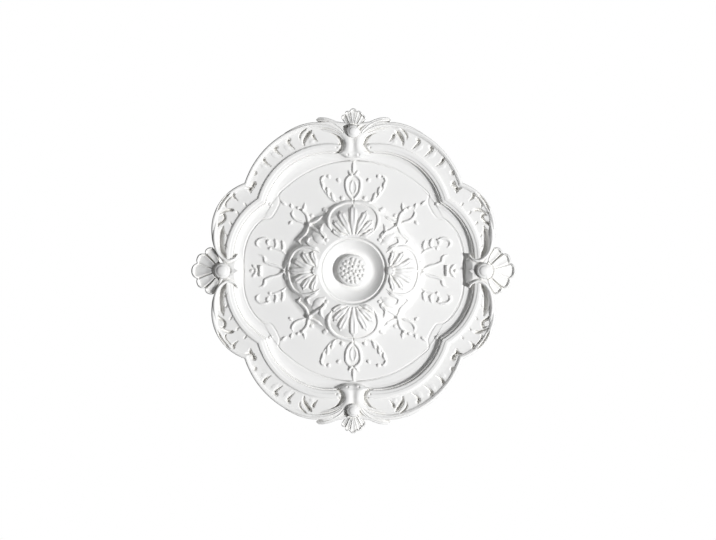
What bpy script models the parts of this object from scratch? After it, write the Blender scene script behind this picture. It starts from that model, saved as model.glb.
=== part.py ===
"""Ceiling rose: one moulded casting with a flat back, a lobed leaf frame, four shell finials,
a plain field with low arabesques and a raised medallion round a dish with a seeded button.

The face looks along -Y, the flat back lies in the plane Y = 0 and the origin is at the middle
of the back. The casting is the same on both sides of its upright and its level axis, so one
quarter is worked out and mirrored twice.
"""
import math

import bpy
import numpy as np
from mathutils import Vector
from mathutils.geometry import delaunay_2d_cdt

# Sizes of the casting, in millimetres.
ACROSS = 385.0               # tip to tip of the shells, both ways; the ornament is drawn on it
FIELD_THICKNESS = 9.0        # back to the plain field
FIELD_LINE = 0.9             # depth of the fine line round the field
BEAD_RISE = 6.2              # inner bead of the frame over the field
CREST_RISE = 10.2            # rounded crest outside the bead over the field
LEAF_RISE = 11.4             # root of the leaves beside the upper shells over the field
RIM_RISE = 12.0              # thin rim outside the leaves over the field
EDGE_THICKNESS = 4.0         # outer edge of the casting
MEDALLION_RISE = 14.2        # inner rim of the medallion over the field
MEDALLION_RADIUS = 86.0      # where the medallion runs out on the field
DISH_RADIUS = 40.5           # inner rim of the medallion, round the dish
LIP_RISE = 11.4              # lip of the dish over the field
DISH_FLOOR = 11.0            # back to the floor of the dish
FLOOR_RADIUS = 23.0          # flat part of the dish's floor
BUTTON_RADIUS = 18.9         # button in the middle
BUTTON_RISE = 11.6           # top of the button over the dish's floor
ARABESQUE_RISE = 2.3         # stems and leaves on the field
PETAL_RISE = 3.0             # petals of the palmettes on the medallion
NOTCH_DEPTH = 3.8            # cuts between the leaves of the frame
HOLLOW_DEPTH = 8.5           # hollow beside the shells in the small lobes
RECESS_DEPTH = 9.0           # scroll-shaped recess beside the upper and lower necks
SHELL_RISE = 12.5            # fingers of the shells at their root over the field
KNOB_RISE = 22.0             # knob at the root of a shell over the field
NECK_RISE = 12.2             # plate between the shell and the field
SIDE_KNOB_RADIUS = 9.0
TOP_KNOB_RADIUS = 7.6

# Spacing of the corners of the faceted surface.
STATION = 7.2                # along a stem, petal or leaf
LINE_STATION = 10.0          # along the frame's mouldings
CLOSEST = 1.55               # shortest distance between two corners
OUTLINE_FIT = 0.35           # how far the outline's chords may stray

DRAW = ACROSS / 385.0

# The frame's lines, each the outer edge of two overlapping discs in every quarter:
# the large lobe towards the top and the small lobe towards the side, as (x, y, radius).
LINES = {
    "field": ((0.0, 13.9, 117.2), (64.8, 12.1, 66.2)),
    "foot": ((27.8, 61.8, 73.0), (67.0, 15.0, 69.6)),
    "bead": ((27.8, 61.8, 78.6), (67.0, 15.0, 75.2)),
    "crest": ((27.8, 61.8, 88.0), (68.0, 15.0, 83.4)),
    "rim": ((28.6, 71.5, 102.4), (109.8, 48.7, 55.4)),
    "edge": ((28.6, 71.5, 105.8), (109.8, 48.7, 58.9)),
}

# The fine line round the field, with its stepped corner between the two arcs.
FIELD_PATH = [(131.0, 0.0), (130.0, 22.0), (127.3, 34.0), (122.6, 45.0), (115.6, 54.5), (107.5, 61.2),
              (99.5, 62.5), (94.6, 67.6), (90.5, 75.0), (88.0, 82.0), (89.0, 91.0), (80.5, 99.5),
              (67.0, 110.0), (48.0, 120.8), (25.0, 128.4), (0.0, 131.1)]

# Shells: root of the fan, reach of its fingers and of the cuts beyond them, angles of the cuts.
SIDE_SHELL = {"root": (155.3, 0.0), "up": False, "tips": (37.2, 34.4, 32.4),
              "notches": (32.0, 29.2, 30.0), "bounds": (17.0, 44.0, 67.0)}
TOP_SHELL = {"root": (0.0, 165.0), "up": True, "tips": (27.5, 25.6, 23.2),
             "notches": (24.6, 22.4, 20.5), "bounds": (10.5, 26.0, 42.0)}


def ease(a, b, v):
    """Smooth step from 0 at a to 1 at b."""
    t = np.clip((v - a) / (b - a), 0.0, 1.0)
    return t * t * (3.0 - 2.0 * t)


def smooth_path(points, steps=8):
    """Catmull-Rom curve through the points, as a polyline."""
    p = np.asarray(points, float)
    if len(p) == 2:
        t = np.linspace(0.0, 1.0, 4)[:, None]
        return p[0] * (1.0 - t) + p[1] * t
    q = np.vstack([2.0 * p[0] - p[1], p, 2.0 * p[-1] - p[-2]])
    t = np.linspace(0.0, 1.0, steps, endpoint=False)[:, None]
    spans = []
    for a, b, c, d in zip(q[:-3], q[1:-2], q[2:-1], q[3:]):
        spans.append(0.5 * (2.0 * b + (c - a) * t + (2.0 * a - 5.0 * b + 4.0 * c - d) * t ** 2
                            + (3.0 * b - a - 3.0 * c + d) * t ** 3))
    return np.vstack(spans + [p[-1:]])


class Relief:
    """Heights over the back at points of one quarter, built up stroke by stroke."""

    def __init__(self, x, y):
        self.x = np.asarray(x, float).ravel() / DRAW
        self.y = np.asarray(y, float).ravel() / DRAW
        self.r = np.hypot(self.x, self.y)
        self.z = np.zeros(self.x.size)
        self.marks = []

    def mark(self, path, offsets, station=STATION):
        """Corners for the facets, in rows beside a polyline at the offsets."""
        runs = np.diff(path, axis=0)
        length = np.hypot(runs[:, 0], runs[:, 1])
        start = np.concatenate([[0.0], np.cumsum(length)])
        count = max(int(round(start[-1] / station)), 1)
        for s in np.linspace(0.0, start[-1], count + 1):
            k = min(int(np.searchsorted(start, s, side="right")) - 1, len(runs) - 1)
            ux, uy = runs[k] / max(length[k], 1e-9)
            px, py = path[k] + np.array((ux, uy)) * (s - start[k])
            for off in offsets:
                self.marks.append((px - uy * off, py + ux * off))
        for here, back in ((path[0], path[1]), (path[-1], path[-2])):
            ahead = (here - back) / max(np.hypot(*(here - back)), 1e-9)
            self.marks.append(tuple(here + ahead * max(offsets)))

    def near(self, path, reach):
        """Points near a polyline, their distance to it and how far along it they lie (0 to 1)."""
        low = path.min(0) - reach
        high = path.max(0) + reach
        pick = np.flatnonzero((self.x > low[0]) & (self.x < high[0])
                              & (self.y > low[1]) & (self.y < high[1]))
        px = self.x[pick]
        py = self.y[pick]
        runs = np.diff(path, axis=0)
        length = np.maximum(np.hypot(runs[:, 0], runs[:, 1]), 1e-9)
        start = np.concatenate([[0.0], np.cumsum(length)])
        best = np.full(pick.size, 1e9)
        along = np.zeros(pick.size)
        for k, (ux, uy) in enumerate(runs / length[:, None]):
            dx = px - path[k, 0]
            dy = py - path[k, 1]
            t = np.clip(dx * ux + dy * uy, 0.0, length[k])
            d = np.hypot(dx - t * ux, dy - t * uy)
            closer = d < best
            best[closer] = d[closer]
            along[closer] = (start[k] + t[closer]) / start[-1]
        return pick, best, along

    def stroke(self, points, half_width, rise, ends=(0.3, 0.3), station=STATION):
        """Round rib laid on the ground (rise > 0) or groove cut into it (rise < 0)."""
        path = smooth_path(points)
        self.mark(path, (0.0, half_width, -half_width), station)
        pick, d, along = self.near(path, half_width)
        taper = ease(0.0, ends[0], along) * ease(0.0, ends[1], 1.0 - along)
        q = np.clip(1.0 - (d / (half_width * (0.35 + 0.65 * taper))) ** 2, 0.0, 1.0)
        q = q if rise < 0.0 else np.sqrt(q)
        self.z[pick] += rise * (0.4 + 0.6 * taper) * q

    def blade(self, points, widths, tops):
        """Solid blade, standing as high as it says, wherever it is the higher."""
        widths = np.asarray(widths, float)
        tops = np.asarray(tops, float)
        path = smooth_path(points)
        wide = widths[:, 1].max()
        self.mark(path, (0.0, 0.75 * wide, -0.75 * wide, wide + 0.8, -wide - 0.8))
        pick, d, along = self.near(path, wide)
        half = np.maximum(np.interp(along, widths[:, 0], widths[:, 1]), 0.1)
        top = np.interp(along, tops[:, 0], tops[:, 1])
        foot = np.interp(along, tops[:, 0], tops[:, 2])
        q = np.sqrt(np.clip(1.0 - (d / half) ** 2, 0.0, 1.0))
        self.z[pick] = np.where(d < half, np.maximum(self.z[pick], foot + (top - foot) * q),
                                self.z[pick])

    def neck(self, across, out, stations, tops, foot, crease=0.0):
        """Bracket-shaped plate on an axis: half width and height by distance from the middle."""
        stations = np.asarray(stations, float)
        tops = np.asarray(tops, float)
        for s, half in stations:
            for off in (0.0, 0.5 * half, 0.93 * half, half + 0.5):
                self.marks.append((s, off) if across is self.y else (off, s))
        half = np.interp(out, stations[:, 0], stations[:, 1], left=0.0, right=0.0)
        top = np.interp(out, tops[:, 0], tops[:, 1])
        share = np.where(half > 0.5, np.abs(across) / np.maximum(half, 0.5), 9.0)
        q = np.clip(1.0 - share ** 5, 0.0, 1.0) ** 0.5
        channel = crease * (1.0 - ease(0.0, 0.42, share))
        self.z = np.where(share < 1.0, np.maximum(self.z, foot + (top - foot) * q - channel), self.z)

    def fan(self, root, up, tips, notches, bounds, knob_radius):
        """Scallop of five hollowed fingers round a knob; up turns it from the side to the top."""
        across = self.x - root[0] if up else self.y - root[1]
        ahead = self.y - root[1] if up else self.x - root[0]
        rho = np.hypot(ahead, across)
        phi = np.degrees(np.arctan2(np.abs(across), ahead))
        waist = ease(0.35 * tips[0], 0.9 * tips[0], rho)
        cut = [b * (w + (1.0 - w) * waist) for b, w in zip(bounds, (0.8, 1.04, 1.1))]
        first = phi < cut[0]
        second = phi < cut[1]
        low = np.where(first, -cut[0], np.where(second, cut[0], cut[1]))
        high = np.where(first, cut[0], np.where(second, cut[1], cut[2]))
        tip = np.where(first, tips[0], np.where(second, tips[1], tips[2]))
        s = (2.0 * phi - low - high) / (high - low)
        inner = np.where(second, notches[0], notches[1])
        outer = np.where(first, notches[0], np.where(second, notches[1], notches[2]))
        side = np.where(s < 0.0, inner, outer)
        reach = tip - (tip - side) * np.clip(np.abs(s), 0.0, 1.0) ** 2.4
        t = np.clip((rho - knob_radius) / (reach - knob_radius), 0.0, 1.2)
        deep = 0.21 * SHELL_RISE * tips[0] / 37.2
        bowl = (1.0 - s ** 2) * ease(0.02, 0.4, t) + ease(0.78, 1.0, np.abs(s)) * ease(0.0, 0.25, t)
        curl = ease(0.66, 0.93, t) - 0.9 * ease(0.93, 1.0, t)
        z = FIELD_THICKNESS + SHELL_RISE * (1.0 - 0.55 * ease(0.0, 1.05, t)) - deep * (bowl - curl)
        self.z = np.where((phi < cut[2]) & (rho < reach), z, self.z)
        q = np.sqrt(np.clip(1.0 - (rho / knob_radius) ** 2, 0.0, 1.0))
        ball = FIELD_THICKNESS + KNOB_RISE * tips[0] ** 0.14 / 37.2 ** 0.14 - 0.75 * knob_radius * (1.0 - q)
        self.z = np.where(rho < knob_radius, np.maximum(self.z - 2.0, ball), self.z)
        spokes = [(turn, share) for turn in (0.0, 0.5 * (bounds[0] + bounds[1]),
                                             0.5 * (bounds[1] + bounds[2]))
                  for share in (0.45, 0.75, 0.93)]
        spokes += [(turn, share) for turn in bounds[:2] for share in (0.45, 0.68)]
        spokes += [(0.97 * bounds[2], share) for share in (0.55, 0.75)]
        for turn, share in spokes:
            a = math.radians(turn)
            far = (share * tips[0] * math.cos(a), share * tips[0] * math.sin(a))
            self.marks.append((root[0] + far[1 if up else 0], root[1] + far[0 if up else 1]))
        self.marks.append(root)
        for radius in (0.6 * knob_radius, 0.98 * knob_radius):
            for k in range(-6, 7):
                a = math.pi * k / 6.0
                self.marks.append((root[0] + radius * math.cos(a), root[1] + radius * math.sin(a)))

    def dot(self, cx, cy, radius, rise):
        """Round bead (rise > 0) or drilled eye (rise < 0)."""
        self.marks.append((cx, cy))
        for k in range(6):
            a = math.pi * k / 3.0
            self.marks.append((cx + radius * math.cos(a), cy + radius * math.sin(a)))
        q = np.clip(1.0 - np.hypot(self.x - cx, self.y - cy) ** 2 / radius ** 2, 0.0, 1.0)
        self.z += rise * (q if rise < 0.0 else np.sqrt(q))


def disc_edge(angle, discs):
    """Distance from the middle to the outer edge of a line's discs, in a direction."""
    c = np.cos(angle)
    s = np.sin(angle)
    best = np.zeros_like(angle)
    for cx, cy, radius in discs:
        for sx, sy in ((1.0, 1.0), (1.0, -1.0), (-1.0, 1.0)):
            along = cx * sx * c + cy * sy * s
            off = cx * sx * s - cy * sy * c
            root = np.sqrt(np.maximum(radius ** 2 - off ** 2, 0.0))
            best = np.maximum(best, np.where(np.abs(off) < radius, along + root, 0.0))
    return best


def frame_ground(rel):
    """Heights across the frame, by stations from the field line (0) to the outer edge (5)."""
    angle = np.arctan2(rel.y, rel.x)
    edges = [disc_edge(angle, discs) for discs in LINES.values()]
    station = np.full(rel.r.size, -1.0)
    for k in range(5):
        share = (rel.r - edges[k]) / np.maximum(edges[k + 1] - edges[k], 0.5)
        station = np.where(rel.r >= edges[k], k + np.minimum(share, 1.0), station)
    field = FIELD_THICKNESS
    rim = field + RIM_RISE
    profile = np.array((
        (-0.5, field), (0.5, field), (1.0, field + 0.06 * BEAD_RISE), (1.5, field + 0.21 * BEAD_RISE),
        (1.74, field + 0.31 * BEAD_RISE), (1.88, field + 0.92 * BEAD_RISE), (1.95, field + BEAD_RISE),
        (2.06, field + BEAD_RISE), (2.16, field + 0.74 * CREST_RISE), (2.5, field + 0.9 * CREST_RISE),
        (2.72, field + 0.98 * CREST_RISE), (2.85, field + CREST_RISE), (2.97, field + 0.98 * CREST_RISE),
        (3.06, field + 0.9 * CREST_RISE), (3.13, field + 0.79 * CREST_RISE),
        (3.25, field + 0.7 * CREST_RISE),
        (3.45, field + 0.67 * CREST_RISE), (3.7, field + 0.74 * CREST_RISE),
        (3.95, field + 0.84 * CREST_RISE),
        (4.12, field + 0.89 * CREST_RISE), (4.42, rim - 0.03 * RIM_RISE), (4.55, rim),
        (4.75, rim - 0.03 * RIM_RISE), (4.9, rim - 0.15 * RIM_RISE), (5.0, EDGE_THICKNESS)))
    height = np.interp(station, profile[:, 0], profile[:, 1])
    rel.z = np.where(rel.r > edges[5], 0.0, height)


def middle_ground(rel):
    """Medallion, dish and button, turned about the axis of the rose."""
    field = FIELD_THICKNESS
    lip = field + LIP_RISE
    crown = field + MEDALLION_RISE
    floor = DISH_FLOOR
    button = DISH_FLOOR + BUTTON_RISE
    wide = MEDALLION_RADIUS - DISH_RADIUS
    slope = DISH_RADIUS - 4.5 - FLOOR_RADIUS
    profile = np.array((
        (0.0, button), (0.42 * BUTTON_RADIUS, button - 0.6), (0.64 * BUTTON_RADIUS, button - 1.35),
        (0.82 * BUTTON_RADIUS, button - 2.3), (0.91 * BUTTON_RADIUS, button - 2.7),
        (0.957 * BUTTON_RADIUS, button - 3.5), (BUTTON_RADIUS, floor + 0.4), (BUTTON_RADIUS + 0.7, floor),
        (FLOOR_RADIUS, floor + 0.2), (FLOOR_RADIUS + 0.16 * slope, floor + 0.1 * (lip - floor)),
        (FLOOR_RADIUS + 0.39 * slope, floor + 0.31 * (lip - floor)),
        (FLOOR_RADIUS + 0.69 * slope, floor + 0.64 * (lip - floor)), (DISH_RADIUS - 5.2, lip - 0.6),
        (DISH_RADIUS - 4.5, lip), (DISH_RADIUS - 3.7, lip + 0.1), (DISH_RADIUS - 3.3, lip - 0.5),
        (DISH_RADIUS - 1.9, lip - 0.4), (DISH_RADIUS - 1.2, lip + 0.6), (DISH_RADIUS - 0.3, crown - 0.5),
        (DISH_RADIUS + 0.7, crown),
        (DISH_RADIUS + 0.21 * wide, field + 0.94 * MEDALLION_RISE),
        (DISH_RADIUS + 0.38 * wide, field + 0.87 * MEDALLION_RISE),
        (DISH_RADIUS + 0.54 * wide, field + 0.79 * MEDALLION_RISE),
        (DISH_RADIUS + 0.65 * wide, field + 0.68 * MEDALLION_RISE),
        (DISH_RADIUS + 0.74 * wide, field + 0.51 * MEDALLION_RISE),
        (DISH_RADIUS + 0.85 * wide, field + 0.25 * MEDALLION_RISE),
        (DISH_RADIUS + 0.95 * wide, field + 0.03 * MEDALLION_RISE), (MEDALLION_RADIUS, field)))
    r = rel.r * DRAW
    height = np.interp(r, profile[:, 0], profile[:, 1])
    rel.z = np.where(r < MEDALLION_RADIUS, np.maximum(height, np.where(r < DISH_RADIUS, 0.0, rel.z)),
                     rel.z)


def petal(rel, points, half_width):
    """Rounded petal."""
    rel.stroke(points, half_width, PETAL_RISE, (0.3, 0.1))


def palmettes(rel):
    """Petals, the bands round them and the knotted stems of one quarter."""
    petal(rel, [(0, 44), (0, 60), (0, 76)], 3.6)
    petal(rel, [(4, 44), (8, 54), (13, 63), (15.5, 69)], 3.2)
    petal(rel, [(6, 43), (13, 49), (20, 55), (22.5, 58)], 3.0)
    petal(rel, [(9, 41), (16, 43), (21, 46), (22.5, 49)], 2.6)
    horseshoe = [(0, 82), (10, 81), (20, 77), (26.2, 71.5), (29.4, 65), (30, 59), (28.4, 53), (25.5, 48)]
    rel.stroke(horseshoe, 2.1, PETAL_RISE - 0.4, (0.02, 0.15))
    rel.dot(44.5, 0, 5.2, PETAL_RISE)
    petal(rel, [(48, 0), (60, 0), (75.5, 0)], 3.0)
    petal(rel, [(47, 3), (58, 6), (67, 10.5), (70.5, 13)], 3.0)
    petal(rel, [(46, 5), (52, 10), (57, 17), (58.5, 21)], 2.8)
    petal(rel, [(43.5, 6), (45, 12), (47.5, 18), (47, 22)], 2.5)
    ring = [(78, 0), (77, 9), (74.5, 17), (70, 23.5), (62, 28), (53, 28), (45, 25.5), (40, 22)]
    rel.stroke(ring, 1.9, PETAL_RISE - 0.6, (0.02, 0.15))
    rel.stroke([(34, 32), (41, 37), (48, 43)], 4.6, 2.0, (0.4, 0.4))
    rel.stroke([(41, 25.5), (46, 28.5), (51.5, 31.2), (54.4, 34), (53, 38.3), (49.5, 39.5)], 1.8, 2.2,
               (0.2, 0.2))
    rel.stroke([(36, 55), (38.5, 50), (37.5, 46), (34.5, 43), (33.5, 40), (35.8, 37)], 1.9, 2.6, (0.2, 0.2))
    hook = [(62.5, 32), (65.2, 36), (62.5, 39), (59, 42.3), (56, 46.3), (54, 51.5), (52, 56), (45, 59.5),
            (37, 65)]
    rel.stroke(hook, 1.8, 2.6, (0.12, 0.12))
    tie = [(34, 40), (39, 45), (44, 48), (49, 51.5), (53.2, 57), (54.7, 64), (57, 68.3), (59.5, 71),
           (58.3, 75.5), (57.8, 80.5)]
    rel.stroke(tie, 1.8, 2.4, (0.15, 0.1))
    rel.dot(52.6, 54, 3.0, 1.6)
    rel.stroke([(31, 70.5), (36.5, 73.8)], 2.6, 2.2, (0.2, 0.2))
    rel.dot(49.5, 65.5, 2.4, 1.8)
    rel.dot(31, 36.5, 2.2, 1.8)


def arabesques(rel):
    """Low stems, buds and leaves on the plain field."""
    h = ARABESQUE_RISE
    rel.stroke([(0, 84.5), (4.2, 88.5), (7.4, 94), (8.8, 101.5), (8, 108), (4, 112.5), (0, 114)], 1.8, h,
               (0.05, 0.1))
    rel.stroke([(0, 90), (3.2, 96), (2.8, 103), (0, 108)], 1.4, 0.5 * h, (0.1, 0.1))
    rel.stroke([(0, 115.5), (0, 130)], 1.8, h, (0.1, 0.4))
    rel.stroke([(0, 113.5), (3, 115), (6, 119)], 1.7, h, (0.1, 0.3))
    rel.stroke([(16, 106), (19.5, 109)], 2.0, h, (0.3, 0.2))
    rel.stroke([(12, 84.5), (15, 88)], 2.4, h, (0.2, 0.3))
    bars = (((22, 82.5), (24.3, 87), (26.2, 92.8)), ((30, 89.5), (30.2, 94), (31.6, 99.5)),
            ((36.3, 97), (36.3, 101.5), (38.6, 106.5)))
    side = (((85.3, 23.5), (83.2, 28.5), (84.8, 36.2)), ((93.6, 27), (91.5, 31.5), (93.3, 38)),
            ((100.7, 30.5), (102.2, 34.5), (99, 37.2)))
    for bar in bars + side:
        rel.stroke(list(bar), 1.8, h, (0.3, 0.2))
    rel.stroke([(14, 81), (22, 82.5), (27.5, 86.5), (32, 92), (36.3, 98)], 1.5, 0.6 * h, (0.2, 0.2))
    rel.stroke([(38.6, 106.5), (37, 110.5), (33.6, 112.3)], 1.5, h, (0.1, 0.2))
    rel.dot(29.5, 112, 2.2, h)
    rel.stroke([(79, 12), (80.8, 5), (82.8, 0)], 1.6, h, (0.2, 0.05))
    rel.stroke([(82.8, 0), (85.5, 3), (91, 5.8), (97, 7.2), (101.5, 9), (105, 11), (105.6, 14.8),
                (107.6, 17.6), (111.8, 19)], 1.7, h, (0.05, 0.2))
    rel.stroke([(110.4, 0), (110.8, 4.2), (109, 6.2)], 2.0, 1.7 * h, (0.02, 0.2))
    rel.stroke([(115, 0), (116.8, 3.6), (120.4, 7.4)], 1.7, h, (0.02, 0.25))
    rel.dot(121.0, 0.0, 2.2, h)
    rel.stroke([(80, 19), (84.5, 23.5), (92, 26.5), (99.5, 28.5)], 1.4, 0.6 * h, (0.2, 0.2))
    rel.dot(99.3, 26.6, 2.0, h)
    rel.stroke([(99.5, 36.8), (106, 38.6), (111.8, 37.2), (114.8, 34), (114.4, 30.5), (111.5, 28)], 1.6,
               h, (0.2, 0.2))
    rel.stroke([(56.5, 56.5), (61, 58), (66, 59.5), (70.6, 62.8), (73, 67.6), (71.6, 71.8)], 1.6, h,
               (0.2, 0.2))
    for bar in (((73.2, 74.4), (74.4, 80)), ((80, 78), (86, 83)), ((73, 59), (76.4, 55)),
                ((64, 74), (68, 75.4)),
                ((59.5, 71), (63, 74))):
        rel.stroke(list(bar), 1.7, h, (0.3, 0.3))


def leaf_frame(rel):
    """Fine line of the field, cuts between the leaves and the hollows beside the shells."""
    rel.stroke(FIELD_PATH, 1.6, -FIELD_LINE, (0.01, 0.01), LINE_STATION)
    large = (((72.0, 143.5), (77.8, 152.3), 2.3), ((86.5, 134.8), (93.4, 143.2), 2.4),
             ((99.6, 123.4), (108.0, 130.8), 2.4), ((111.5, 111.5), (118.0, 116.6), 3.1))
    small = (((153.5, 64), (163, 52), 2.2), ((150.5, 74.5), (142.5, 71), 2.6),
             ((152, 80.5), (138, 82), 1.6),
             ((143, 91.5), (137.5, 83), 2.0))
    rel.stroke([(43.0, 153.0), (46.5, 159.0)], 1.8, -NOTCH_DEPTH, (0.4, 0.1))
    for inner, eye, radius in large:
        rel.stroke([inner, eye], 1.7, -NOTCH_DEPTH, (0.45, 0.05))
        rel.dot(eye[0], eye[1], radius, -0.9 * NOTCH_DEPTH)
    rel.stroke([(51, 165), (56, 159), (60.2, 153), (60, 148.5)], 2.4, -1.9 * NOTCH_DEPTH, (0.2, 0.3))
    rel.dot(118, 103.2, 3.4, -1.6 * NOTCH_DEPTH)
    rel.stroke([(118, 101), (122, 97), (122, 92.5)], 2.6, -1.3 * NOTCH_DEPTH, (0.1, 0.3))
    hollow = [(150.5, 12.5), (153.5, 18), (156.5, 26), (157.0, 37), (156.0, 46), (154.5, 52)]
    rel.stroke(hollow, 3.8, -HOLLOW_DEPTH, (0.2, 0.15))
    for eye, inner, radius in small:
        rel.stroke([eye, inner], 1.6, -NOTCH_DEPTH, (0.15, 0.3))
        rel.dot(eye[0], eye[1], radius, -0.7 * NOTCH_DEPTH)


def finials(rel):
    """Necks, the strands and leaves that leave them, and the shells."""
    field = FIELD_THICKNESS
    neck = field + NECK_RISE
    foot = field + 0.08 * NECK_RISE
    leaf = field + LEAF_RISE
    strand = [(137.5, 18.5), (140.5, 14.6), (146.5, 12.0), (152.0, 13.2), (158.0, 18.0), (162.0, 25.0),
              (164.2, 35.0), (164.4, 46.0), (162.0, 60.0)]
    rel.neck(rel.y, rel.x, [(134.8, 14.0), (138.0, 16.5), (141.0, 14.0), (146.0, 12.2), (152.0, 12.6),
                            (160.0, 14.0)],
             [(134.8, field + 0.4 * NECK_RISE), (137.5, neck - 0.16 * NECK_RISE), (141.0, neck),
              (160.0, neck)],
             foot)
    rel.blade(strand, [(0, 1.2), (0.08, 1.7), (0.3, 2.4), (0.7, 3.6), (1, 2.0)],
              [(0, field + 0.75 * NECK_RISE, field + 0.3 * NECK_RISE),
               (0.15, field + 1.1 * NECK_RISE, field + 0.57 * NECK_RISE),
               (0.4, field + 1.1 * NECK_RISE, field + 0.57 * NECK_RISE),
               (0.8, field + NECK_RISE, field + 0.5 * NECK_RISE),
               (1, field + 0.82 * NECK_RISE, field + 0.4 * NECK_RISE)])
    recess = [(30, 161.5), (24, 161.0), (17.5, 157.5), (13.4, 153.0), (12.6, 147.5), (15.0, 143.0),
              (20.5, 140.0)]
    rel.stroke(recess, 2.6, -RECESS_DEPTH, (0.25, 0.2))
    rel.neck(rel.x, rel.y, [(133.2, 17.5), (138.0, 14.6), (142.0, 12.0), (148.0, 10.8), (153.0, 11.4),
                            (158.0, 14.0), (163.0, 19.0)],
             [(133.2, field + 0.45 * NECK_RISE), (136.0, neck - 0.12 * NECK_RISE), (141.0, neck),
              (163.0, neck)],
             foot, 0.2 * NECK_RISE)
    rel.blade([(12.5, 164.0), (24.0, 169.5), (37.0, 172.3), (51.0, 172.0), (65.0, 168.0), (76.0, 162.6),
               (84.5, 158.6)],
              [(0, 3.0), (0.3, 3.0), (0.7, 2.6), (0.93, 1.9), (1, 0.8)],
              [(0, leaf + 3.7, leaf + 1.3), (0.4, leaf + 1.2, leaf - 1.2), (0.8, leaf - 2.8, leaf - 5.2),
               (1, leaf - 4.8, leaf - 7.2)])
    rel.blade([(10.0, 162.0), (15.5, 168.5), (22.0, 173.4), (31.0, 177.2), (39.0, 178.6), (43.4, 177.4)],
              [(0, 3.2), (0.4, 3.4), (0.75, 2.9), (0.94, 2.2), (1, 0.8)],
              [(0, leaf + 4.8, leaf + 2.4), (0.4, leaf + 3.2, leaf + 0.8), (0.8, leaf - 0.2, leaf - 2.6),
               (1, leaf - 2.8, leaf - 5.2)])
    rel.fan(knob_radius=SIDE_KNOB_RADIUS, **SIDE_SHELL)
    rel.fan(knob_radius=TOP_KNOB_RADIUS, **TOP_SHELL)


def carve(x, y):
    """The whole relief at points of one quarter."""
    rel = Relief(x, y)
    frame_ground(rel)
    middle_ground(rel)
    palmettes(rel)
    arabesques(rel)
    leaf_frame(rel)
    finials(rel)
    return rel


def outline():
    """Corners of the quarter's outer edge, from the side (y = 0) round to the top (x = 0)."""
    angles = np.linspace(0.0, 0.5 * math.pi, 541)
    reaches = np.arange(0.33 * ACROSS, 0.53 * ACROSS, 0.2)
    a, r = np.meshgrid(angles, reaches, indexing="ij")
    rel = Relief(r * np.cos(a), r * np.sin(a))
    frame_ground(rel)
    finials(rel)
    solid = rel.z.reshape(a.shape) > 0.5
    last = solid.shape[1] - 1 - np.argmax(solid[:, ::-1], axis=1)
    reach = reaches[last]
    x = reach * np.cos(angles)
    y = reach * np.sin(angles)
    y[0] = 0.0
    x[-1] = 0.0
    points = np.column_stack([x, y])
    keep = np.zeros(len(points), bool)
    keep[[0, -1]] = True
    spans = [(0, len(points) - 1)]
    while spans:
        a, b = spans.pop()
        if b - a < 2:
            continue
        run = points[b] - points[a]
        side = points[a + 1:b] - points[a]
        off = np.abs(run[0] * side[:, 1] - run[1] * side[:, 0]) / max(np.hypot(*run), 1e-9)
        k = int(np.argmax(off))
        if off[k] > OUTLINE_FIT:
            keep[a + 1 + k] = True
            spans += [(a, a + 1 + k), (a + 1 + k, b)]
    corners = [points[0]]
    for p in points[keep][1:-1]:
        if np.hypot(*(p - corners[-1])) > 0.8 * CLOSEST:
            corners.append(p)
    while np.hypot(*(points[-1] - corners[-1])) < 0.8 * CLOSEST:
        corners.pop()
    corners.append(points[-1])
    return np.array(corners)


def facets(points, border, ties=()):
    """Delaunay triangles inside the border, a closed ring of indices, with the ties as edges."""
    ring = [int(i) for i in border]
    flat = [Vector((float(px), float(py))) for px, py in points]
    result = delaunay_2d_cdt(flat, ties, [ring], 1, 1e-5)
    return np.array([tuple(v) for v in result[0]]), np.array(result[2])


def moulding_lines():
    """Lines round the rose on which the face bends: the frame's mouldings and the dish's rings."""
    lines = list(LINES.values())
    chains = []
    for base, share in ((1, 0.7), (2, 0.0), (2, 0.2), (2, 0.85), (3, 0.13), (2, 0.52), (3, 0.45), (4, 0.1),
                        (4, 0.6), (3, 0.75), (1, 0.0)):
        count = int(0.5 * math.pi * 0.38 * ACROSS / LINE_STATION)
        a = 0.5 * math.pi * np.arange(count + 1) / count
        reach = DRAW * (disc_edge(a, lines[base]) * (1.0 - share) + disc_edge(a, lines[base + 1]) * share)
        chains.append(np.column_stack([reach * np.cos(a), reach * np.sin(a)]))
    wide = MEDALLION_RADIUS - DISH_RADIUS
    for radius, count in ((0.6 * BUTTON_RADIUS, 4), (0.95 * BUTTON_RADIUS, 7), (BUTTON_RADIUS + 0.7, 7),
                          (0.5 * (FLOOR_RADIUS + DISH_RADIUS) - 4.0, 8), (DISH_RADIUS - 4.5, 10),
                          (DISH_RADIUS - 2.1, 10), (DISH_RADIUS - 0.3, 10),
                          (DISH_RADIUS + 0.65 * wide, 12), (DISH_RADIUS + 0.92 * wide, 14)):
        a = 0.5 * math.pi * np.arange(count + 1) / count
        chains.append(np.column_stack([radius * np.cos(a), radius * np.sin(a)]))
    return chains


def edge_distance(edge, px, py):
    """Distance of a point to the quarter's outer edge."""
    run = edge[1:] - edge[:-1]
    side = np.array((px, py)) - edge[:-1]
    t = np.clip((side * run).sum(1) / (run * run).sum(1), 0.0, 1.0)[:, None]
    return float(np.hypot(*(side - run * t).T).min())


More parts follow.
